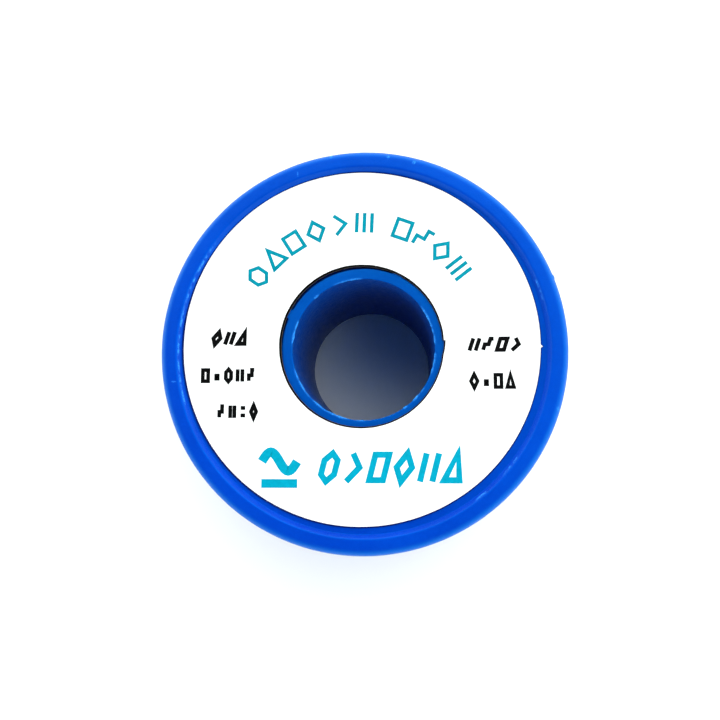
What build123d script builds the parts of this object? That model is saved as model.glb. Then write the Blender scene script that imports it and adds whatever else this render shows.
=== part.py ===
from build123d import *
import math
import os

# A small reel of flux-cored solder wire, lying on its rear flange. Millimetres.
# +Z runs along the spool's axis towards the front face, and the origin is the centre of the
# plane that the rear flange's rim rests on. The front face's print is upright along +Y.

# Driving dimensions: the spool, the wire and the labels
FLANGE_RADIUS = 28.5
SPOOL_WIDTH = 30.0
BORE_RADIUS = 10.0
WIRE_DIAMETER = 0.8
TURNS_PER_LAYER = 30
FULL_LAYERS = 8
TOP_LAYER_TURNS = 24
LABEL_RADIUS = 25.0
LABEL_HOLE_RADIUS = 11.35
LABEL_THICKNESS = 0.1
FRONT_LABEL_SHIFT = (-0.3, 0.45)
REAR_LABEL_SHIFT = (0.2, 0.1)

# Flange: a flat web inside a raised rim
RIM_HEIGHT = 0.9
CREST_INNER_RADIUS = 26.15
RECESS_RADIUS = 25.6
CREST_OUTER_ROUND = 1.0
CREST_INNER_ROUND = 0.35
INNER_FACE_ROUND = 0.3
HOLE_RADIUS = 11.9
HOLE_CHAMFER = 0.4

# Barrel: a tube with a spigot at each end, held in the flanges by crush ribs
BARREL_RADIUS = 12.4
SPIGOT_RADIUS = 11.5
BARREL_END_DEPTH = 1.0
BARREL_EDGE_BREAK = 0.15
RIB_COUNT = 4
RIB_WIDTH = 1.3
FIRST_RIB_ANGLE = 64.0
RIB_ROOT = 0.2

# Wire's free end: it runs on past the last turn, and its tip stands off the winding
TAIL_START_ANGLE = 200.0
TAIL_SWEEP = 80.0
TAIL_TIP_LENGTH = 5.0
FLUX_CORE_DIAMETER = 0.29
FLUX_CORE_DEPTH = 1.5

# Clear tape over the free end
TAPE_THICKNESS = 0.06
TAPE_SWEEP = 34.0
TAPE_END_GAP = 14.0
TAPE_REAR_REACH = 5.0
TAPE_FRONT_REACH = 3.0
TAPE_SLOPE = 1.0

# Worked out from the dimensions above. A helix of n turns side by side is n + 1 diameters wide.
INNER_WIDTH = (TURNS_PER_LAYER + 1) * WIRE_DIAMETER
FLANGE_THICKNESS = (SPOOL_WIDTH - INNER_WIDTH) / 2
REAR_INNER_FACE = FLANGE_THICKNESS
FRONT_INNER_FACE = SPOOL_WIDTH - FLANGE_THICKNESS
WEB_THICKNESS = FLANGE_THICKNESS - RIM_HEIGHT
BARREL_LENGTH = SPOOL_WIDTH - 2 * BARREL_END_DEPTH
FULL_LAYERS_RADIUS = BARREL_RADIUS + FULL_LAYERS * WIRE_DIAMETER
TOP_LAYER_RADIUS = FULL_LAYERS_RADIUS + WIRE_DIAMETER
TOP_LAYER_END = REAR_INNER_FACE + TOP_LAYER_TURNS * WIRE_DIAMETER
TAIL_RADIUS = FULL_LAYERS_RADIUS + WIRE_DIAMETER / 2
TAIL_HEIGHT = TOP_LAYER_END + WIRE_DIAMETER / 2


def revolved(outline):
    """Solid of revolution about Z of a closed outline of (radius, height) points."""
    edge = Polyline(*[(radius, 0, height) for radius, height in outline], close=True)
    return revolve(make_face(edge), Axis.Z)


def rounded(solid, radius, height, round_radius):
    """The solid with its circular edge at this radius and height rounded."""
    near = 0.01
    edges = [
        edge
        for edge in solid.edges().filter_by(GeomType.CIRCLE)
        if abs(edge.radius - radius) < near and abs(edge.center(CenterOf.BOUNDING_BOX).Z - height) < near
    ]
    return fillet(edges, round_radius)


def flange():
    """Front flange with its inner face at height 0 and its rim's crest outwards, along +Z."""
    outline = [
        (HOLE_RADIUS, 0),
        (FLANGE_RADIUS, 0),
        (FLANGE_RADIUS, FLANGE_THICKNESS),
        (CREST_INNER_RADIUS, FLANGE_THICKNESS),
        (RECESS_RADIUS, WEB_THICKNESS),
        (HOLE_RADIUS + HOLE_CHAMFER, WEB_THICKNESS),
        (HOLE_RADIUS, WEB_THICKNESS - HOLE_CHAMFER),
    ]
    solid = revolved(outline)
    solid = rounded(solid, FLANGE_RADIUS, FLANGE_THICKNESS, CREST_OUTER_ROUND)
    solid = rounded(solid, CREST_INNER_RADIUS, FLANGE_THICKNESS, CREST_INNER_ROUND)
    return rounded(solid, FLANGE_RADIUS, 0, INNER_FACE_ROUND)


def front_flange():
    return Pos(0, 0, FRONT_INNER_FACE) * flange()


def rear_flange():
    return Pos(0, 0, REAR_INNER_FACE) * mirror(flange(), about=Plane.XY)


def crush_ribs():
    """Ribs on both spigots, whose outer faces bear on the wall of the flange's hole."""
    length = BARREL_LENGTH - 2 * BARREL_EDGE_BREAK
    root_radius = SPIGOT_RADIUS - RIB_ROOT
    ring = Cylinder(HOLE_RADIUS, length) - Cylinder(root_radius, length)
    bar = Pos(HOLE_RADIUS, 0, 0) * Box(2 * (HOLE_RADIUS - root_radius), RIB_WIDTH, length)
    angles = [FIRST_RIB_ANGLE + index * 360 / RIB_COUNT for index in range(RIB_COUNT)]
    return [Pos(0, 0, SPOOL_WIDTH / 2) * (ring & Rot(0, 0, angle) * bar) for angle in angles]


def barrel():
    low = BARREL_END_DEPTH
    high = SPOOL_WIDTH - BARREL_END_DEPTH
    rim = BARREL_EDGE_BREAK
    outline = [
        (BORE_RADIUS, low + rim),
        (BORE_RADIUS + rim, low),
        (SPIGOT_RADIUS - rim, low),
        (SPIGOT_RADIUS, low + rim),
        (SPIGOT_RADIUS, REAR_INNER_FACE),
        (BARREL_RADIUS, REAR_INNER_FACE),
        (BARREL_RADIUS, FRONT_INNER_FACE),
        (SPIGOT_RADIUS, FRONT_INNER_FACE),
        (SPIGOT_RADIUS, high - rim),
        (SPIGOT_RADIUS - rim, high),
        (BORE_RADIUS + rim, high),
        (BORE_RADIUS, high - rim),
    ]
    solid = revolved(outline)
    for rib in crush_ribs():
        solid += rib
    return solid


def label(shift, base):
    """Round paper label with a central hole, a little off the spool's centre."""
    disc = Cylinder(LABEL_RADIUS, LABEL_THICKNESS, align=(Align.CENTER, Align.CENTER, Align.MIN))
    hole = Cylinder(LABEL_HOLE_RADIUS, LABEL_THICKNESS, align=(Align.CENTER, Align.CENTER, Align.MIN))
    return Pos(*shift, base) * (disc - hole)


def front_label():
    return label(FRONT_LABEL_SHIFT, SPOOL_WIDTH - RIM_HEIGHT)


def rear_label():
    return label(REAR_LABEL_SHIFT, RIM_HEIGHT - LABEL_THICKNESS)


def solder_winding():
    """Outer shape of the wound wire: full layers, and a top layer that stops short of the front."""
    outline = [
        (BARREL_RADIUS, REAR_INNER_FACE),
        (TOP_LAYER_RADIUS, REAR_INNER_FACE),
        (TOP_LAYER_RADIUS, TOP_LAYER_END),
        (FULL_LAYERS_RADIUS, TOP_LAYER_END),
        (FULL_LAYERS_RADIUS, FRONT_INNER_FACE),
        (BARREL_RADIUS, FRONT_INNER_FACE),
    ]
    return revolved(outline)


def tail_path():
    """Free end's centre line: an arc on the winding, then a straight tip along its tangent."""
    arc = CenterArc((0, 0, TAIL_HEIGHT), TAIL_RADIUS, TAIL_START_ANGLE, TAIL_SWEEP)
    tip = Line(arc @ 1, arc @ 1 + (arc % 1) * TAIL_TIP_LENGTH)
    return arc + tip


def tail_tip_plane():
    """Plane across the wire's cut end, facing back along the wire."""
    path = tail_path()
    return Plane(origin=path @ 1, z_dir=-(path % 1))


def flux_core():
    core = Cylinder(FLUX_CORE_DIAMETER / 2, FLUX_CORE_DEPTH, align=(Align.CENTER, Align.CENTER, Align.MIN))
    return tail_tip_plane() * core


def wire_tail():
    path = tail_path()
    section = Plane(origin=path @ 0, z_dir=path % 0) * Circle(WIRE_DIAMETER / 2)
    return sweep(section, path) - flux_core()


def end_tape():
    """Strip of tape that bridges the top layer's last turns, the free end and the layer below."""
    top = TOP_LAYER_RADIUS
    low = FULL_LAYERS_RADIUS
    step = TOP_LAYER_END + WIRE_DIAMETER
    rear = step - WIRE_DIAMETER - TAPE_REAR_REACH
    foot = step + TAPE_SLOPE
    front = foot + TAPE_FRONT_REACH
    outline = [
        (top, rear),
        (top + TAPE_THICKNESS, rear),
        (top + TAPE_THICKNESS, step),
        (low + TAPE_THICKNESS, foot),
        (low + TAPE_THICKNESS, front),
        (low, front),
        (low, foot),
        (top, step),
    ]
    edge = Polyline(*[(radius, 0, height) for radius, height in outline], close=True)
    strip = revolve(make_face(edge), Axis.Z, revolution_arc=TAPE_SWEEP)
    return Rot(0, 0, TAIL_START_ANGLE + TAIL_SWEEP - TAPE_END_GAP - TAPE_SWEEP) * strip


def wire_length():
    """Length of all the wire on the spool, in millimetres."""
    total = 0
    for layer in range(FULL_LAYERS + 1):
        turns = TURNS_PER_LAYER if layer < FULL_LAYERS else TOP_LAYER_TURNS
        radius = BARREL_RADIUS + (layer + 0.5) * WIRE_DIAMETER
        total += turns * 2 * math.pi * radius
    return total + tail_path().length


NODES = {
    "barrel": barrel,
    "front_flange": front_flange,
    "rear_flange": rear_flange,
    "front_label": front_label,
    "rear_label": rear_label,
    "solder_winding": solder_winding,
    "wire_tail": wire_tail,
    "flux_core": flux_core,
    "end_tape": end_tape,
}

os.makedirs("parts", exist_ok=True)
for name, make in NODES.items():
    export_step(make(), os.path.join("parts", name + ".step"))
print(f"wire on the spool: {wire_length() / 1000:.2f} m")
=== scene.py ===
import bmesh
import bpy
import math
from mathutils import Matrix, Vector, noise


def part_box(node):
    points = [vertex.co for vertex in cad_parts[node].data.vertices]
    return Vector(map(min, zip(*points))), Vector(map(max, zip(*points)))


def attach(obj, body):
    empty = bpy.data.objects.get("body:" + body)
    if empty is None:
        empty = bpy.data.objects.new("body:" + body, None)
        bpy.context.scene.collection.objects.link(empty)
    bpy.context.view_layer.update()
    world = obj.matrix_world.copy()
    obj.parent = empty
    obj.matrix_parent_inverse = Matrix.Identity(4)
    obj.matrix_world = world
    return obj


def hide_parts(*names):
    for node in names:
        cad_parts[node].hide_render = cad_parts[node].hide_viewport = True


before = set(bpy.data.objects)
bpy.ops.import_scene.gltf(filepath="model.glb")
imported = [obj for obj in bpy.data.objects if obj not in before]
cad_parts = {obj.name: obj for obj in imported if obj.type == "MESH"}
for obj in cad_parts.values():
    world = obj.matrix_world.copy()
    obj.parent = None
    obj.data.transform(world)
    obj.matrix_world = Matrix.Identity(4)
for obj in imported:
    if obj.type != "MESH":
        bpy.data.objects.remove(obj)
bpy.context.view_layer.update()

# A small reel of solder wire lying on its rear flange. Lengths are in millimetres, and angles in
# degrees, until a piece is made, when they are turned into the frame's metres. Angles run
# counter-clockwise from +X as seen from the front label.
MM = 0.001


def in_mm(node):
    """Lowest and highest corners of a CAD node, in millimetres."""
    low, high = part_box(node)
    return low / MM, high / MM


# Places worked out from the frame
SPOOL_RADIUS = in_mm("front_flange")[1].x
SPOOL_TOP = in_mm("front_flange")[1].z
FRONT_INNER_FACE = in_mm("front_flange")[0].z
REAR_INNER_FACE = in_mm("rear_flange")[1].z
BARREL_LOW = in_mm("barrel")[0].z
BARREL_TOP = in_mm("barrel")[1].z
PAPER_LOW = in_mm("front_label")[0].z
PAPER_TOP = in_mm("front_label")[1].z
LABEL_CENTRE = sum(in_mm("front_label"), Vector()) / 2
LABEL_RADIUS = (in_mm("front_label")[1].x - in_mm("front_label")[0].x) / 2
REAR_LABEL_CENTRE = sum(in_mm("rear_label"), Vector()) / 2
FLANGE_THICKNESS = SPOOL_TOP - FRONT_INNER_FACE

# The spool's own sizes
BARREL_RADIUS = 12.4
BORE_RADIUS = 10.0
SPIGOT_RADIUS = 11.5
HOLE_RADIUS = 11.9
RIM_HEIGHT = 0.9
CREST_INNER_RADIUS = 26.15
RECESS_RADIUS = 25.6
RIB_WIDTH = 1.3
RIB_ANGLES = [64, 154, 244, 334]
LABEL_HOLE_RADIUS = 11.35

# The wire's diameter, and how it is wound
WIRE = 0.8
LAYERS = 9
TURNS_PER_LAYER = 30
TOP_LAYER_TURNS = 24
# Share of a turn, at each end of a layer, over which the wire makes half its climb to the next
CLIMB = 0.15
WIRE_START_ANGLE = 200
FLUX_CORE_RADIUS = 0.145


# ---------------------------------------------------------------- camera

def camera():
    """Looks almost straight down on the front label, from a little in front of it."""
    place = Vector((6.58, -15.30, 137.00)) * MM
    target = Vector((-0.2, -1.8, SPOOL_TOP)) * MM
    data = bpy.data.cameras.new("camera")
    data.lens = 39.0
    data.sensor_width = 36.0
    data.clip_start = 0.01
    seen = bpy.data.objects.new("camera", data)
    bpy.context.scene.collection.objects.link(seen)
    back = (place - target).normalized()
    right = Vector((0, 1, 0)).cross(back).normalized()
    axes = Matrix((right, back.cross(right), back)).transposed()
    seen.matrix_world = Matrix.Translation(place) @ axes.to_4x4()
    bpy.context.scene.camera = seen


# ---------------------------------------------------------------- mesh tools

# Edges whose faces meet at more than this angle are shaded as sharp
SHARP_ANGLE = 40


def polar(radius, angle, height=0.0):
    """Point at this radius and angle in degrees."""
    turn = math.radians(angle)
    return Vector((radius * math.cos(turn), radius * math.sin(turn), height))


def grain(point, feature, seed):
    """Smooth noise from -1 to 1 with features of about this size."""
    return noise.noise(Vector(point) / feature + Vector((seed, -seed, 2 * seed)))


def spot_strength(angle, spots):
    """Strength at this angle of the strongest of the (angle, reach, strength) spots."""
    found = 0.0
    for centre, reach, strength in spots:
        away = abs((angle - centre + 180) % 360 - 180)
        found = max(found, strength * (1 - min(1, away / reach) ** 4))
    return found


def softened(corners, steps=4):
    """Closed outline through (x, y, radius) corners, each rounded by an arc of its radius."""
    outline = []
    for index, (x, y, radius) in enumerate(corners):
        corner = Vector((x, y))
        if not radius:
            outline.append(corner)
            continue
        back = (Vector(corners[index - 1][:2]) - corner).normalized()
        ahead = (Vector(corners[(index + 1) % len(corners)][:2]) - corner).normalized()
        half = back.angle(ahead) / 2
        centre = corner + (back + ahead).normalized() * radius / math.sin(half)
        first = corner + back * radius / math.tan(half) - centre
        last = corner + ahead * radius / math.tan(half) - centre
        for step in range(steps + 1):
            share = step / steps
            outline.append(centre + first.slerp(last, share).normalized() * radius)
    return outline


def finish_piece(name, shape, materials):
    """Object of a bmesh in millimetres, that rides on the spool and has its finish."""
    bmesh.ops.recalc_face_normals(shape, faces=shape.faces)
    bmesh.ops.scale(shape, vec=(MM, MM, MM), verts=shape.verts)
    mesh = bpy.data.meshes.new(name)
    shape.to_mesh(mesh)
    shape.free()
    mesh.shade_smooth()
    mesh.set_sharp_from_angle(angle=math.radians(SHARP_ANGLE))
    for material in materials:
        mesh.materials.append(material)
    piece = bpy.data.objects.new(name, mesh)
    bpy.context.scene.collection.objects.link(piece)
    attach(piece, "root")
    return piece


def turned(outline, segments, shape):
    """Solid of revolution of a closed (radius, height) outline.

    shape(angle, radius, height) gives a point's new radius and height, and how worn it is, which also paints
    glints.
    """
    made = bmesh.new()
    wear_and_glint_layer = made.verts.layers.float.new("wear_and_glint")
    rings = []
    for step in range(segments):
        angle = step * 360 / segments
        ring = []
        for radius, height in outline:
            new_radius, new_height, wear_and_glint = shape(angle, radius, height)
            vert = made.verts.new(polar(new_radius, angle, new_height))
            vert[wear_and_glint_layer] = wear_and_glint
            ring.append(vert)
        rings.append(ring)
    for step, ring in enumerate(rings):
        after = rings[(step + 1) % segments]
        for index in range(len(ring)):
            ahead = (index + 1) % len(ring)
            made.faces.new((ring[index], ring[ahead], after[ahead], after[index]))
    return made


# ---------------------------------------------------------------- material tools

class Look:
    """A Principled material. Its patterns are placed by the object's own coordinates in mm."""

    def __init__(self, name, sockets):
        self.material = bpy.data.materials.new(name)
        self.material.use_nodes = True
        self.tree = self.material.node_tree
        self.shader = self.tree.nodes["Principled BSDF"]
        for socket, value in sockets.items():
            self.shader.inputs[socket].default_value = value
        where = self.node("TexCoord").outputs["Object"]
        scaled = self.node("VectorMath", {0: where, 1: (1 / MM, 1 / MM, 1 / MM)}, operation="MULTIPLY")
        self.place = scaled.outputs[0]

    def node(self, kind, inputs=None, **settings):
        made = self.tree.nodes.new("ShaderNode" + kind)
        for name, value in settings.items():
            setattr(made, name, value)
        for socket, value in (inputs or {}).items():
            if isinstance(value, bpy.types.NodeSocket):
                self.tree.links.new(value, made.inputs[socket])
            else:
                made.inputs[socket].default_value = value
        return made

    def math(self, operation, first, second=0.0):
        return self.node("Math", {0: first, 1: second}, operation=operation).outputs[0]

    def noise(self, feature, detail=2.0, place=None, roughness=0.5):
        inputs = {"Vector": place or self.place, "Scale": 1 / feature}
        inputs["Detail"] = detail
        inputs["Roughness"] = roughness
        return self.node("TexNoise", inputs).outputs["Fac"]

    def around(self, angle_scale=1.0):
        """Coordinates of (distance from the axis, angle, height), which stretch along a turn."""
        parts = self.node("SeparateXYZ", {0: self.place}).outputs
        flat = self.node("CombineXYZ", {0: parts[0], 1: parts[1]}).outputs[0]
        radius = self.node("VectorMath", {0: flat}, operation="LENGTH").outputs["Value"]
        angle = self.math("MULTIPLY", self.math("ARCTAN2", parts[1], parts[0]), angle_scale)
        return self.node("CombineXYZ", {0: radius, 1: angle, 2: parts[2]}).outputs[0]

    def span(self, value, low, high, new_low=0.0, new_high=1.0):
        """The value from low to high, stretched to new_low to new_high."""
        inputs = {0: value, 1: low, 2: high, 3: new_low, 4: new_high}
        return self.node("MapRange", inputs).outputs[0]

    def mix(self, factor, first, second):
        made = self.node("Mix", {0: factor, 6: first, 7: second}, data_type="RGBA")
        return made.outputs[2]

    def bump(self, height, distance, normal=None):
        """Relief of this height, with its distance in millimetres."""
        inputs = {"Height": height, "Distance": distance * MM}
        if normal:
            inputs["Normal"] = normal
        return self.node("Bump", inputs).outputs[0]

    def use(self, socket, value):
        self.tree.links.new(value, self.shader.inputs[socket])


def blue_plastic(name, deep, bright):
    """Glossy moulded plastic with cloudy colour, flow lines, and white where it is worn, which also paints
    glints.

    The colour goes from deep to bright in clouds. It is paler along the flanges' outer edge, a painted sheen.
    """
    # Painted sheen on the flanges' outer rounded edge
    painted_sheen_colour = (0.0, 0.10, 0.51, 1)
    # Pale colour of wear, which also paints glints on nicks, scuffs and flash
    wear_and_glint_colour = (0.04, 0.30, 0.86, 1)
    look = Look(name, {
        "IOR": 1.49,
        "Specular IOR Level": 0.6,
        "Specular Tint": (0.0, 0.55, 1.0, 1),
        "Subsurface Weight": 0.12,
        "Subsurface Radius": (0.2, 0.6, 1.0),
        "Subsurface Scale": 0.8 * MM,
    })
    cloud = look.noise(9.0, 3.0)
    colour = look.mix(look.span(cloud, 0.3, 0.7), (*deep, 1), (*bright, 1))
    speck = look.noise(0.35, 2.0)
    lighter = (*(1.25 * part for part in bright), 1)
    colour = look.mix(look.span(speck, 0.35, 0.8, 0.0, 0.22), colour, lighter)
    wear_and_glint = look.node("Attribute", attribute_name="wear_and_glint").outputs["Fac"]
    crumbs = look.span(look.noise(0.16, 3.0, roughness=0.7), 0.36, 0.6)
    wear_and_glint_mask = look.math("MULTIPLY", wear_and_glint, crumbs)
    radius = look.node("SeparateXYZ", {0: look.around()}).outputs[0]
    # Painted sheen: paler towards the flanges' outer edge
    edge = look.span(radius, SPOOL_RADIUS - 1.0, SPOOL_RADIUS - 0.2)
    colour = look.mix(edge, colour, painted_sheen_colour)
    colour = look.mix(wear_and_glint_mask, colour, wear_and_glint_colour)
    look.use("Base Color", colour)
    flow = look.noise(0.5, 3.0, look.around(6.0))
    dull = look.span(flow, 0.3, 0.7, 0.34, 0.48)
    look.use("Roughness", look.math("MAXIMUM", dull, look.math("MULTIPLY", wear_and_glint_mask, 0.8)))
    relief = look.bump(look.noise(1.3, 2.0), 0.035)
    relief = look.bump(flow, 0.006, relief)
    relief = look.bump(look.noise(0.12, 2.0), 0.004, relief)
    look.use("Normal", look.bump(crumbs, 0.01, relief))
    return look.material


def label_paper():
    """Coated white paper with a faint fibre."""
    look = Look("label_paper", {"Specular IOR Level": 0.35})
    fibre = look.noise(0.25, 4.0, roughness=0.65)
    cloud = look.noise(6.0, 2.0)
    colour = look.mix(look.span(fibre, 0.3, 0.7), (0.90, 0.90, 0.885, 1), (0.94, 0.94, 0.93, 1))
    colour = look.mix(look.span(cloud, 0.3, 0.7, 0.0, 0.25), colour, (0.90, 0.89, 0.86, 1))
    look.use("Base Color", colour)
    look.use("Roughness", look.span(fibre, 0.3, 0.7, 0.42, 0.58))
    relief = look.bump(fibre, 0.012)
    look.use("Normal", look.bump(cloud, 0.05, relief))
    return look.material


def cut_paper_painted_shade():
    """Cut edge of the label: torn fibres, dark brown as painted shade."""
    look = Look("cut_paper_painted_shade", {"Roughness": 0.9})
    fibre = look.noise(0.1, 3.0)
    cut_edge_shade = (0.03, 0.028, 0.028, 1)
    look.use("Base Color", look.mix(look.span(fibre, 0.3, 0.7), cut_edge_shade, (0.12, 0.10, 0.09, 1)))
    look.use("Normal", look.bump(fibre, 0.02))
    return look.material


def ink(name, thin, thick):
    """Printed ink that lies a little unevenly on the paper."""
    look = Look(name, {"Specular IOR Level": 0.05})
    patch = look.noise(0.5, 3.0)
    look.use("Base Color", look.mix(look.span(patch, 0.3, 0.7), (*thin, 1), (*thick, 1)))
    look.use("Roughness", look.span(look.noise(0.15, 2.0), 0.3, 0.7, 0.35, 0.55))
    look.use("Normal", look.bump(patch, 0.006))
    return look.material


def solder_metal():
    """Drawn tin alloy: bright, with fine lines along the wire and dull patches."""
    look = Look("solder_metal", {"Metallic": 1.0})
    patch = look.noise(5.0, 3.0)
    lines = look.noise(0.09, 3.0, look.around(1.5))
    colour = look.mix(look.span(patch, 0.35, 0.7), (0.38, 0.385, 0.39, 1), (0.27, 0.27, 0.275, 1))
    look.use("Base Color", look.mix(look.span(lines, 0.45, 0.75, 0.0, 0.5), colour, (0.19, 0.19, 0.195, 1)))
    dull = look.math("ADD", look.span(patch, 0.3, 0.7, 0.22, 0.34), look.span(lines, 0.3, 0.7, 0.0, 0.1))
    look.use("Roughness", dull)
    look.use("Normal", look.bump(lines, 0.01))
    return look.material


def flux_rosin():
    """Amber rosin with small bubbles."""
    sockets = {"Roughness": 0.22, "Subsurface Weight": 0.3, "Subsurface Scale": 0.1 * MM}
    look = Look("flux_rosin", sockets)
    cloud = look.noise(0.08, 2.0)
    look.use("Base Color", look.mix(look.span(cloud, 0.3, 0.7), (0.62, 0.30, 0.04, 1), (0.85, 0.52, 0.12, 1)))
    look.use("Normal", look.bump(cloud, 0.01))
    return look.material


def clear_film():
    """Clear adhesive film with a slightly uneven coat of glue."""
    look = Look("clear_film", {"IOR": 1.46, "Transmission Weight": 0.93, "Coat Weight": 0.3})
    glue = look.noise(0.9, 4.0)
    look.use("Base Color", look.mix(look.span(glue, 0.3, 0.7), (0.97, 0.95, 0.88, 1), (1.0, 0.99, 0.96, 1)))
    look.use("Roughness", look.span(glue, 0.35, 0.7, 0.04, 0.22))
    look.use("Normal", look.bump(glue, 0.02))
    return look.material


def pale_floor():
    """Plain pale sheet that the reel lies on."""
    look = Look("pale_floor", {"Roughness": 0.75, "Specular IOR Level": 0.2})
    cloud = look.noise(60.0, 2.0)
    look.use("Base Color", look.mix(cloud, (0.94, 0.94, 0.94, 1), (0.96, 0.96, 0.96, 1)))
    return look.material


# ---------------------------------------------------------------- the wire

def layer_radius(layer):
    """Radius of the wire's centre line in this layer."""
    return BARREL_RADIUS + (layer + 0.5) * WIRE


def wire_point(turns):
    """Centre of the wire after this many turns, as (radius, height)."""
    layer = min(int(turns / TURNS_PER_LAYER), LAYERS - 1)
    inside = turns - layer * TURNS_PER_LAYER
    low = REAR_INNER_FACE + WIRE / 2
    high = FRONT_INNER_FACE - WIRE / 2
    height = low + inside * WIRE if layer % 2 == 0 else high - inside * WIRE
    share = 0.0
    if layer < LAYERS - 1 and inside > TURNS_PER_LAYER - CLIMB:
        share = (inside - TURNS_PER_LAYER + CLIMB) / (2 * CLIMB)
    if layer > 0 and inside < CLIMB:
        share = (inside - CLIMB) / (2 * CLIMB)
    return layer_radius(layer) + WIRE * share, height


def wire_route():
    """Control points of the wound wire and its free end.

    The wire fills each layer from flange to flange, and steps up to the next one there. The top
    layer stops short, and the free end runs on beside it, then leaves along its tangent. The two
    outer layers have more points to a turn than the rest, and waver a little up and down.
    """
    visible_from = (LAYERS - 2) * TURNS_PER_LAYER
    last = (LAYERS - 1) * TURNS_PER_LAYER + TOP_LAYER_TURNS
    coarse = 12
    fine = 24
    free_end_points = 6
    tip_length = 2.6
    waver = 0.035
    route = [polar(layer_radius(0), WIRE_START_ANGLE, REAR_INNER_FACE + WIRE / 2)]
    steps = [(index / coarse, coarse) for index in range(1, visible_from * coarse)]
    outer_points = (last - visible_from) * fine + free_end_points
    steps += [(visible_from + index / fine, fine) for index in range(outer_points)]
    for turns, per_turn in steps:
        radius, height = wire_point(turns)
        angle = WIRE_START_ANGLE + turns * 360
        if turns > visible_from:
            height += waver * grain(polar(1, angle, turns / 9), 0.6, 3)
        route.append(polar(radius / math.cos(math.pi / per_turn), angle, height))
    along = (route[-1] - route[-2]).normalized()
    along.z = 0
    step = (route[-1] - route[-2]).length
    route.append(route[-1] + along * step)
    route.append(route[-1] + along * tip_length)
    return route


def wire():
    """All the solder on the reel as one wire."""
    data = bpy.data.curves.new("solder_wire", "CURVE")
    data.dimensions = "3D"
    data.bevel_depth = WIRE / 2 * MM
    data.bevel_resolution = 2
    data.use_fill_caps = True
    data.resolution_u = 2
    line = data.splines.new("NURBS")
    route = wire_route()
    line.points.add(len(route) - 1)
    for point, place in zip(line.points, route):
        point.co = (*(place * MM), 1)
    line.order_u = 3
    line.use_endpoint_u = True
    line.resolution_u = 2
    data.materials.append(solder_metal())
    piece = bpy.data.objects.new("solder_wire", data)
    bpy.context.scene.collection.objects.link(piece)
    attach(piece, "root")
    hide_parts("solder_winding", "wire_tail")
    flux = flux_core(route[-1], (route[-1] - route[-2]).normalized())


def flux_core(tip, along):
    """Domed end of the rosin core, in the middle of the wire's cut end."""
    rounds = 24
    outline = [(FLUX_CORE_RADIUS, -0.3), (FLUX_CORE_RADIUS, 0.004), (0.1, 0.018), (0.05, 0.026)]
    made = bmesh.new()
    rings = []
    for radius, height in outline:
        rings.append([made.verts.new(polar(radius, step * 360 / rounds, height)) for step in range(rounds)])
    for low, high in zip(rings, rings[1:]):
        for step in range(rounds):
            ahead = (step + 1) % rounds
            made.faces.new((low[step], low[ahead], high[ahead], high[step]))
    made.faces.new(rings[0])
    made.faces.new(rings[-1])
    turn = along.to_track_quat("Z", "Y").to_matrix().to_4x4()
    made.transform(Matrix.Translation(tip) @ turn)
    piece = finish_piece("rosin_core", made, [flux_rosin()])
    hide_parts("flux_core")
    return piece


# ---------------------------------------------------------------- the spool

# Rough places on the slope just below the front crest's inner edge, whose pale wear also paints glints, as
# (angle, reach, strength)
CREST_NICKS = [(165, 22, 1.0), (190, 8, 0.7), (17.6, 3.6, 0.8), (321, 4, 0.6), (308, 2.5, 0.6)]
# Scuffs on the crest, whose pale wear also paints glints, as (angle, radius, reach)
CREST_SCUFFS = [
    (99, 28.1, 0.3),
    (82, 27.7, 0.25),
    (74.2, 27.5, 0.3),
    (110, 26.9, 0.2),
    (190, 26.9, 0.2),
    (342, 28.1, 0.25),
]
# Stubs of flash along the bore's front edge, whose pale wear also paints glints, as (angle, reach, strength)
BORE_FLASH = [
    (19, 17, 1.0),
    (347, 9, 1.0),
    (325, 2.5, 0.6),
    (317, 4, 0.8),
    (306, 2, 0.8),
    (269, 3.5, 0.7),
    (243, 17, 1.0),
    (210, 14, 0.7),
    (170, 6, 1.0),
    (161, 5, 0.9),
    (131, 3, 0.9),
    (102, 13, 0.8),
]
# Angle of a small nib on the front flange's outline
SILHOUETTE_NIB = 20
NIB_REACH = 0.6
NIB_HEIGHT = 0.09
# How far the tube's front end is off the spool's axis in its loose hole, and which way
LEAN = 0.22
LEAN_ANGLE = 331


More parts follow.
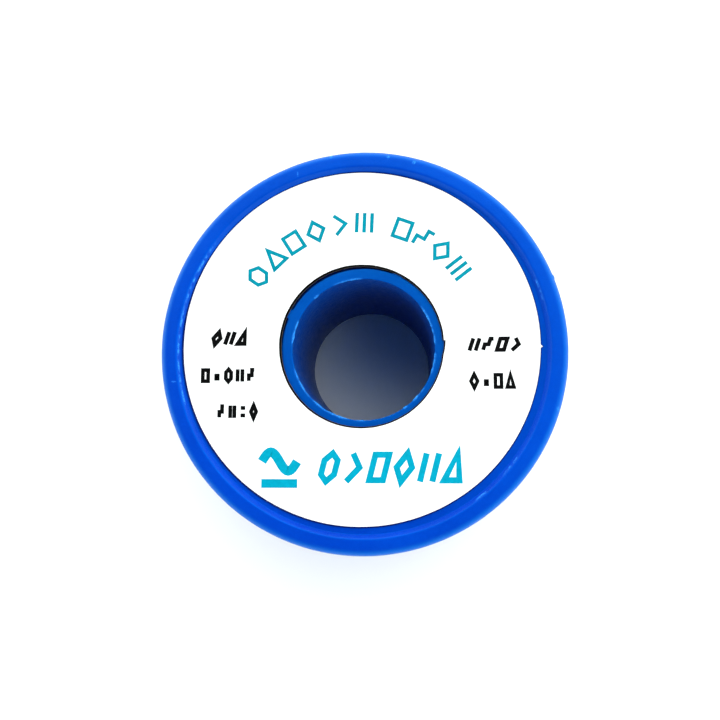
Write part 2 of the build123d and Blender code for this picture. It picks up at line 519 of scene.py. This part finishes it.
def flange(name, segments, seed, nicks, scuffs, front):
    """Disc with a raised rim, a little uneven, as it left its mould.

    Points that aren't corners of the outline are there for the unevenness and the wear, which also paints
    glints, to move.
    """
    top = FLANGE_THICKNESS
    web = top - RIM_HEIGHT
    slope = RECESS_RADIUS - CREST_INNER_RADIUS
    shares = (0.27, 0.34, 0.41, 0.48, 0.55, 0.65)
    outline = softened([
        (HOLE_RADIUS, 0, 0.15),
        (20, 0, 0),
        (SPOOL_RADIUS, 0, 0.3),
        (SPOOL_RADIUS, top / 2, 0),
        (SPOOL_RADIUS, top, 1.0),
        (27.2, top, 0),
        (26.8, top, 0),
        (CREST_INNER_RADIUS, top, 0.35),
        *[(CREST_INNER_RADIUS + share * slope, top - share * RIM_HEIGHT, 0) for share in shares],
        (RECESS_RADIUS, web, 0.12),
        (24.5, web, 0),
        (12.6, web, 0),
        (HOLE_RADIUS + 0.4, web, 0.1),
        (HOLE_RADIUS, web - 0.4, 0.1),
    ], 8)

    def shape(angle, radius, height):
        place = polar(radius, angle, height)
        wear_and_glint = 0.0
        if radius > RECESS_RADIUS and height > web + 0.2:
            radius += 0.015 * grain(place, 4, seed) + 0.006 * grain(place, 0.9, seed + 1)
            height += 0.02 * grain(place, 6, seed + 2)
        near_edge = 1 - min(1, math.hypot(radius - CREST_INNER_RADIUS + 0.2, height - top + 0.33) / 0.24)
        nick = spot_strength(angle, nicks) * near_edge
        if nick > 0:
            torn = max(0, 0.35 + grain(place, 0.5, seed + 3))
            radius -= 0.12 * nick * torn
            height += 0.1 * nick * torn
            # Pale wear on the nicks, which also paints glints along the slope
            wear_and_glint = min(1, 2.5 * nick * torn)
        for centre, distance, reach in scuffs:
            away = (place.xy - polar(distance, centre).xy).length / reach
            if away < 1 and height > top - 0.5:
                height += 0.05 * (1 - away) * grain(place, 0.25, seed + 5)
                wear_and_glint = max(wear_and_glint, 1 - away ** 2)
        if front and radius > SPOOL_RADIUS - 0.2 and abs(angle - SILHOUETTE_NIB) < NIB_REACH:
            radius += NIB_HEIGHT
        side = FRONT_INNER_FACE + height if front else REAR_INNER_FACE - height
        return radius, side, wear_and_glint

    return turned(outline, segments, shape)


def flanges(plastic):
    front = flange("front_flange_moulded", 900, 11, CREST_NICKS, CREST_SCUFFS, True)
    piece = finish_piece("front_flange_moulded", front, [plastic])
    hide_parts("front_flange")
    rear_nicks = [(40, 9, 0.6), (205, 14, 0.5), (300, 4, 0.7)]
    rear_scuffs = [(12, 27.4, 0.5), (140, 27.9, 0.4), (251, 27.2, 0.45)]
    rear = flange("rear_flange_moulded", 720, 47, rear_nicks, rear_scuffs, False)
    piece = finish_piece("rear_flange_moulded", rear, [plastic])
    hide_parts("rear_flange")


def barrel(plastic):
    """Tube with a ribbed spigot at each end, and torn flash around the bore's front edge, pale with wear and
    painted glints.
    """
    low = BARREL_LOW
    top = BARREL_TOP
    outline = softened([
        (BORE_RADIUS, low, 0.15),
        (SPIGOT_RADIUS, low, 0.15),
        (SPIGOT_RADIUS, REAR_INNER_FACE, 0),
        (BARREL_RADIUS, REAR_INNER_FACE, 0),
        (BARREL_RADIUS, FRONT_INNER_FACE, 0),
        (SPIGOT_RADIUS, FRONT_INNER_FACE, 0),
        (SPIGOT_RADIUS, top, 0.15),
        (10.9, top, 0),
        (10.5, top, 0),
        (10.3, top, 0),
        (10.2, top, 0),
        (10.12, top, 0),
        (10.06, top - 0.01, 0),
        (BORE_RADIUS, top - 0.05, 0),
        (BORE_RADIUS, top - 0.12, 0),
        (BORE_RADIUS, top - 0.2, 0),
        (BORE_RADIUS, top - 0.4, 0),
        (BORE_RADIUS, top - 0.8, 0),
        (BORE_RADIUS, 22, 0),
        (BORE_RADIUS, 15, 0),
        (BORE_RADIUS, 8, 0),
    ])
    half_rib = math.degrees(RIB_WIDTH / 2 / SPIGOT_RADIUS)

    def shape(angle, radius, height):
        place = polar(radius, angle, height)
        on_rib = any(abs((angle - rib + 180) % 360 - 180) < half_rib for rib in RIB_ANGLES)
        beyond = height < REAR_INNER_FACE or height > FRONT_INNER_FACE
        if on_rib and beyond and radius > SPIGOT_RADIUS - 0.2:
            radius += HOLE_RADIUS - SPIGOT_RADIUS
        wear_and_glint = 0.0
        near_edge = 1 - min(1, math.hypot(radius - BORE_RADIUS - 0.03, height - top + 0.03) / 0.2)
        torn = spot_strength(angle, BORE_FLASH) * near_edge
        if torn > 0:
            ragged = 0.5 + grain(place, 0.6, 21)
            radius -= 0.14 * torn * ragged
            height += 0.08 * torn * grain(place, 0.4, 22)
            # Pale wear on the flash, which also paints its glints
            wear_and_glint = min(1, max(0, torn * (0.5 + 2 * ragged)))
        if radius < SPIGOT_RADIUS - 0.3:
            height += 0.015 * grain(place, 1.5, 23)
        radius += LEAN * (height - low) / (top - low) * math.cos(math.radians(angle - LEAN_ANGLE))
        return radius, height, wear_and_glint

    piece = finish_piece("barrel_moulded", turned(outline, 900, shape), [plastic])
    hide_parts("barrel")


# ---------------------------------------------------------------- labels

LABEL_SEGMENTS = 1440
# How far the front label's hole is off the label's own centre, and which way
HOLE_SHIFT = 0.28
HOLE_SHIFT_ANGLE = 331
# Widths of the black ring of painted shade round the hole, and of the fibres that hang on inside it
HOLE_SHADE_WIDTH = 0.22
BURR_WIDTH = 0.05


def edge_of_hole(angle):
    """Radius of the front label's hole, which is a little off centre, with its cutter's step."""
    past = (2.6 - angle) % 360
    step = 0.25 * (1 - past / 10) if past < 10 else 0.0
    shift = HOLE_SHIFT * math.cos(math.radians(angle - HOLE_SHIFT_ANGLE))
    return LABEL_HOLE_RADIUS + shift + step + 0.02 * grain(polar(11, angle), 1.2, 31)


def edge_of_hole_shade(angle):
    """Outer radius of the black ring round the hole, painted shade of the gap under it, wider towards 140
    degrees.
    """
    return edge_of_hole(angle) + HOLE_SHADE_WIDTH + 0.07 * math.cos(math.radians(angle - 140))


def edge_of_hole_burr(angle):
    """Inner radius of the fibres that hang on round the underside of the hole."""
    return edge_of_hole(angle) - BURR_WIDTH - 0.04 * grain(polar(11, angle), 0.7, 33)


def edge_of_paper(angle):
    """Radius of the front label's outer edge, with the pointed tab that held it in its sheet."""
    away = abs((angle - 359 + 180) % 360 - 180)
    tab = 0.3 * max(0, 1 - away / 0.55)
    return LABEL_RADIUS + tab + 0.015 * grain(polar(25, angle), 2, 32)


def edge_of_painted_shade(angle):
    """Outer radius of the dark line of painted shade along the paper's outer edge, in the recess's corner."""
    return edge_of_paper(angle) + 0.19 + 0.07 * math.cos(math.radians(angle - 190))


def plain_hole(angle):
    return LABEL_HOLE_RADIUS


def plain_edge(angle):
    return LABEL_RADIUS


def plain_hole_shade(angle):
    return LABEL_HOLE_RADIUS + HOLE_SHADE_WIDTH


def plain_hole_burr(angle):
    return LABEL_HOLE_RADIUS - BURR_WIDTH


def plain_edge_shade(angle):
    return LABEL_RADIUS + 0.18


def washer(inner, outer, low, high, centre, rings=6):
    """Flat closed ring between two edges given by angle, about this centre."""
    outline = [(0, low), (0, high)]
    outline += [(step / rings, high) for step in range(1, rings)]
    outline += [(1, high), (1, low)]

    def shape(angle, share, height):
        return inner(angle) + share * (outer(angle) - inner(angle)), height, 0.0

    made = turned(outline, LABEL_SEGMENTS, shape)
    bmesh.ops.translate(made, vec=(centre.x, centre.y, 0), verts=made.verts)
    return made


def label(name, node, centre, low, high, edges, out, inks):
    """Paper disc with its cut edges, a black ring of painted shade round its hole, and a dark ring of painted
    shade along its outer edge.

    out is 1 where the label's outer face points up, and -1 where it points down.
    """
    paper, shaded_cut, black, edge_shade_ink = inks
    inner, outer, hole_shade_edge, burr_edge, painted_shade_edge = edges
    face = high if out > 0 else low
    back = low if out > 0 else high
    sheet = washer(inner, outer, low, high, centre)
    piece = finish_piece(name, sheet, [paper])
    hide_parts(node)
    # Black ring just inside the hole's edge: painted shade of the gap under it
    line = washer(lambda a: inner(a) - 0.005, hole_shade_edge, *sorted((back, face + out * 0.012)), centre, rings=1)
    finish_piece(name + "_hole_shade", line, [black])
    # Fibres round the hole, dark with painted shade
    burr = washer(burr_edge, inner, *sorted((back, back + out * 0.03)), centre, rings=1)
    finish_piece(name + "_hole_burr", burr, [shaded_cut])
    sunk = sorted((face - out * 0.08, face - out * 0.015))
    # Dark ring sunk along the outer edge: painted shade in the recess's corner
    rim = washer(lambda a: outer(a) - 0.02, painted_shade_edge, *sunk, centre, rings=1)
    finish_piece(name + "_painted_edge_shade", rim, [edge_shade_ink])


# Marks are lists of (points, closed) lines in a box one unit wide and one high
HEXAGON = [([polar(0.5, corner).xy for corner in range(30, 390, 60)], True)]
TRIANGLE = [([(-0.5, -0.45), (0.5, -0.45), (0.0, 0.5)], True)]
SQUARE = [([(-0.45, -0.45), (0.45, -0.45), (0.45, 0.45), (-0.45, 0.45)], True)]
DIAMOND = [([(-0.5, 0.0), (0.0, -0.5), (0.5, 0.0), (0.0, 0.5)], True)]
CHEVRON = [([(-0.3, 0.5), (0.35, 0.0), (-0.3, -0.5)], False)]
STEPS = [([(-0.45, -0.45), (-0.45, 0.0), (0.05, 0.0), (0.05, 0.45), (0.45, 0.45)], False)]
FENCE = [([(across, -0.5), (across, 0.5)], False) for across in (-0.45, 0.0, 0.45)]
PAIR = [([(across, -0.5), (across, 0.5)], False) for across in (-0.4, 0.4)]
BRICKS = [([(-0.45, height), (0.45, height)], False) for height in (-0.3, 0.3)]
DOT = [([(-0.12, -0.25), (0.12, -0.25), (0.12, 0.0), (-0.12, 0.0)], True)]


def band(points, width, closed):
    """The two edges of a line of this width through the points, with mitred corners."""
    sides = ([], [])
    for index, point in enumerate(points):
        before = points[index - 1] if closed or index else None
        after = points[(index + 1) % len(points)] if closed or index < len(points) - 1 else None
        ways = []
        if before is not None:
            ways.append((point - before).normalized())
        if after is not None:
            ways.append((after - point).normalized())
        way = sum(ways, Vector((0, 0))).normalized()
        across = Vector((-way.y, way.x)) * width / 2 / max(0.35, way.dot(ways[0]))
        sides[0].append(point + across)
        sides[1].append(point - across)
    return sides


def add_line(made, points, width, closed, low, high):
    """Adds a flat solid strip along the points, between these heights, to the mesh."""
    left, right = band(points, width, closed)
    rows = []
    for one, other in zip(left, right):
        corners = ((one, low), (one, high), (other, high), (other, low))
        rows.append([made.verts.new((*flat, height)) for flat, height in corners])
    count = len(rows) if closed else len(rows) - 1
    for index in range(count):
        row = rows[index]
        after = rows[(index + 1) % len(rows)]
        for side in range(4):
            ahead = (side + 1) % 4
            made.faces.new((row[side], row[ahead], after[ahead], after[side]))
    if not closed:
        made.faces.new(rows[0])
        made.faces.new(rows[-1])


def add_mark(made, mark, centre, size, turn, slant, width):
    """Adds one mark to the mesh, of this size, slanted and then turned about its centre.

    It reaches a little into the paper, so that the ink has no gap under it.
    """
    low = PAPER_TOP - 0.01
    high = PAPER_TOP + 0.014
    rotate = Matrix.Rotation(math.radians(turn), 2)
    for points, closed in mark:
        placed = []
        for x, y in points:
            flat = Vector(((size[0] - width) * x + slant * size[1] * y, (size[1] - width) * y))
            placed.append(rotate @ flat + Vector(centre) + LABEL_CENTRE.xy)
        add_line(made, placed, width, closed, low, high)


def add_row(made, marks, centre, size, slant, width):
    """Adds a level row of marks that fills a box of this size."""
    pitch = size[0] / len(marks)
    for index, mark in enumerate(marks):
        across = (index + 0.5) * pitch - size[0] / 2
        box = (pitch * 0.86, size[1])
        add_mark(made, mark, (centre[0] + across, centre[1]), box, 0, slant, width)


def teal_print(teal, bright_teal):
    """Two groups of marks along an arc above the hole, and a pictogram and a bold row below."""
    made = bmesh.new()
    arc = [
        (HEXAGON, 145.4),
        (TRIANGLE, 133.9),
        (SQUARE, 122.4),
        (DIAMOND, 110.9),
        (CHEVRON, 99.3),
        (FENCE, 87.8),
        (SQUARE, 69.7),
        (STEPS, 59.0),
        (DIAMOND, 49.0),
        (FENCE, 37.6),
    ]
    for mark, angle in arc:
        add_mark(made, mark, polar(17.6, angle).xy, (2.9, 3.4), angle - 90, 0, 0.52)
    finish_piece("front_print_arc", made, [teal])
    made = bmesh.new()
    bold = [HEXAGON, CHEVRON, SQUARE, DIAMOND, PAIR, TRIANGLE]
    add_row(made, bold, (4.4, -17.0), (20.6, 4.7), 0.21, 0.85)
    finish_piece("front_print_bold", made, [bright_teal])
    made = bmesh.new()
    wave = [(share / 24 - 0.5, 0.5 * math.sin(share / 12 * math.pi)) for share in range(25)]
    add_mark(made, [(wave, False)], (-11.1, -16.2), (6.2, 3.9), 0, 0, 1.3)
    add_mark(made, [([(-0.5, 0), (0.5, 0)], False)], (-11.1, -19.2), (6.2, 1.2), 0, 0, 1.2)
    finish_piece("front_print_wire", made, [bright_teal])


def black_print(black):
    """Short rows of small marks at both sides of the hole."""
    made = bmesh.new()
    add_row(made, [DIAMOND, PAIR, TRIANGLE], (-18.4, 1.1), (5.6, 2.4), 0.25, 0.6)
    add_row(made, [SQUARE, DOT, HEXAGON, PAIR, STEPS], (-18.5, -4.2), (8.2, 2.3), 0, 0.55)
    add_row(made, [STEPS, PAIR, BRICKS, DIAMOND], (-17.1, -9.3), (6.0, 2.3), 0, 0.55)
    finish_piece("front_print_left", made, [black])
    made = bmesh.new()
    add_row(made, [PAIR, STEPS, SQUARE, CHEVRON], (18.8, -0.1), (7.6, 2.3), 0.25, 0.56)
    add_row(made, [DIAMOND, DOT, SQUARE, TRIANGLE], (18.3, -5.2), (6.6, 2.4), 0, 0.5)
    finish_piece("front_print_right", made, [black])


def labels():
    black = ink("black_ink", (0.002, 0.002, 0.002), (0.0006, 0.0006, 0.0006))
    teal = ink("teal_ink", (0.0, 0.25, 0.33), (0.0, 0.19, 0.25))
    bright_teal = ink("bright_teal_ink", (0.0, 0.315, 0.455), (0.0, 0.26, 0.37))
    # Dark navy for the painted shade along the labels' outer edges
    edge_shade_ink = ink("painted_edge_shade", (0.002, 0.012, 0.12), (0.001, 0.007, 0.07))
    inks = (label_paper(), cut_paper_painted_shade(), black, edge_shade_ink)
    edges = (edge_of_hole, edge_of_paper, edge_of_hole_shade, edge_of_hole_burr, edge_of_painted_shade)
    label("front_label_paper", "front_label", LABEL_CENTRE, PAPER_LOW, PAPER_TOP, edges, 1, inks)
    edges = (plain_hole, plain_edge, plain_hole_shade, plain_hole_burr, plain_edge_shade)
    rear_low, rear_high = in_mm("rear_label")
    label("rear_label_paper", "rear_label", REAR_LABEL_CENTRE, rear_low.z, rear_high.z, edges, -1, inks)
    teal_print(teal, bright_teal)
    black_print(black)


# ---------------------------------------------------------------- tape

def tape():
    """Clear strip with toothed ends that holds the free end down on the winding."""
    first = 232
    sweep = 34
    thickness = 0.06
    gap = 0.03
    rear_reach = 5
    pitch = 0.25
    step = REAR_INNER_FACE + (TOP_LAYER_TURNS + 1) * WIRE
    upper = layer_radius(LAYERS - 1) + WIRE / 2 + gap
    lower = layer_radius(LAYERS - 2) + WIRE / 2 + gap
    line = [(upper, step - WIRE - rear_reach + pitch * index) for index in range(24)]
    line += [(upper, step + 0.1), (upper - 0.12, step + 0.3), (upper - 0.4, step + 0.6)]
    line += [(lower + 0.12, step + 0.9), (lower, step + 1.15)]
    line += [(lower, step + 1.15 + pitch * index) for index in range(1, 12)]
    teeth = 14
    columns = 60
    made = bmesh.new()
    grid = []
    for column in range(columns + 1):
        share = column / columns
        row = []
        for index, (radius, height) in enumerate(line):
            saw = abs((index / len(line) * teeth) % 1 - 0.5) * 1.6
            angle = first + saw + share * (sweep - 2 * saw + 0.8)
            lift = 0.012 * (1 + grain((angle, height, 0), 1.7, 51))
            inner = made.verts.new(polar(radius + lift, angle, height))
            outer = made.verts.new(polar(radius + lift + thickness, angle, height))
            row.append((inner, outer))
        grid.append(row)
    for column in range(columns):
        for index in range(len(line) - 1):
            a, b = grid[column][index], grid[column][index + 1]
            c, d = grid[column + 1][index + 1], grid[column + 1][index]
            made.faces.new((a[0], b[0], c[0], d[0]))
            made.faces.new((a[1], d[1], c[1], b[1]))
    edge = [(column, 0) for column in range(columns)]
    edge += [(columns, index) for index in range(len(line) - 1)]
    edge += [(column, len(line) - 1) for column in range(columns, 0, -1)]
    edge += [(0, index) for index in range(len(line) - 1, 0, -1)]
    for here, there in zip(edge, edge[1:] + edge[:1]):
        a = grid[here[0]][here[1]]
        b = grid[there[0]][there[1]]
        made.faces.new((a[0], a[1], b[1], b[0]))
    piece = finish_piece("clear_end_tape", made, [clear_film()])
    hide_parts("end_tape")


# ---------------------------------------------------------------- studio

def floor():
    reach = 4.0
    gap_below = 0.00002
    made = bmesh.new()
    bmesh.ops.create_grid(made, x_segments=8, y_segments=8, size=reach)
    mesh = bpy.data.meshes.new("floor")
    made.to_mesh(mesh)
    made.free()
    mesh.materials.append(pale_floor())
    sheet = bpy.data.objects.new("floor", mesh)
    sheet.location.z = -gap_below
    bpy.context.scene.collection.objects.link(sheet)


def soft_light(name, place, size, power):
    """Square soft light that faces the reel."""
    data = bpy.data.lights.new(name, "AREA")
    data.size = size
    data.energy = power
    lamp = bpy.data.objects.new(name, data)
    bpy.context.scene.collection.objects.link(lamp)
    lamp.location = place
    lamp.rotation_euler = (-Vector(place)).to_track_quat("-Z", "Y").to_euler()


def sky():
    """Even pale surroundings that are dimmer straight overhead."""
    world = bpy.data.worlds.new("studio")
    world.use_nodes = True
    nodes = world.node_tree.nodes
    links = world.node_tree.links
    where = nodes.new("ShaderNodeTexCoord")
    parts = nodes.new("ShaderNodeVectorMath")
    parts.operation = "DOT_PRODUCT"
    parts.inputs[1].default_value = Vector((-0.24, -0.34, 0.91)).normalized()
    ramp = nodes.new("ShaderNodeValToRGB")
    links.new(where.outputs["Generated"], parts.inputs[0])
    links.new(parts.outputs["Value"], ramp.inputs[0])
    links.new(ramp.outputs[0], nodes["Background"].inputs["Color"])
    ramp.color_ramp.interpolation = "EASE"
    ramp.color_ramp.elements[0].position = 0.56
    ramp.color_ramp.elements[0].color = (1.0, 1.0, 1.0, 1)
    ramp.color_ramp.elements[1].position = 0.90
    ramp.color_ramp.elements[1].color = (0.02, 0.035, 0.045, 1)
    ramp.color_ramp.elements.new(0.73).color = (0.44, 0.53, 0.56, 1)
    nodes["Background"].inputs["Strength"].default_value = 2.55
    bpy.context.scene.world = world


def studio():
    floor()
    sky()
    soft_light("key", (0.07, 0.18, 0.18), 0.30, 0.20)
    bpy.context.scene.view_settings.view_transform = "Standard"


camera()
wire()
flanges(blue_plastic("flange_plastic", (0.0, 0.026, 0.365), (0.0, 0.037, 0.425)))
barrel(blue_plastic("barrel_plastic", (0.0, 0.037, 0.268), (0.0, 0.047, 0.308)))
labels()
tape()
studio()
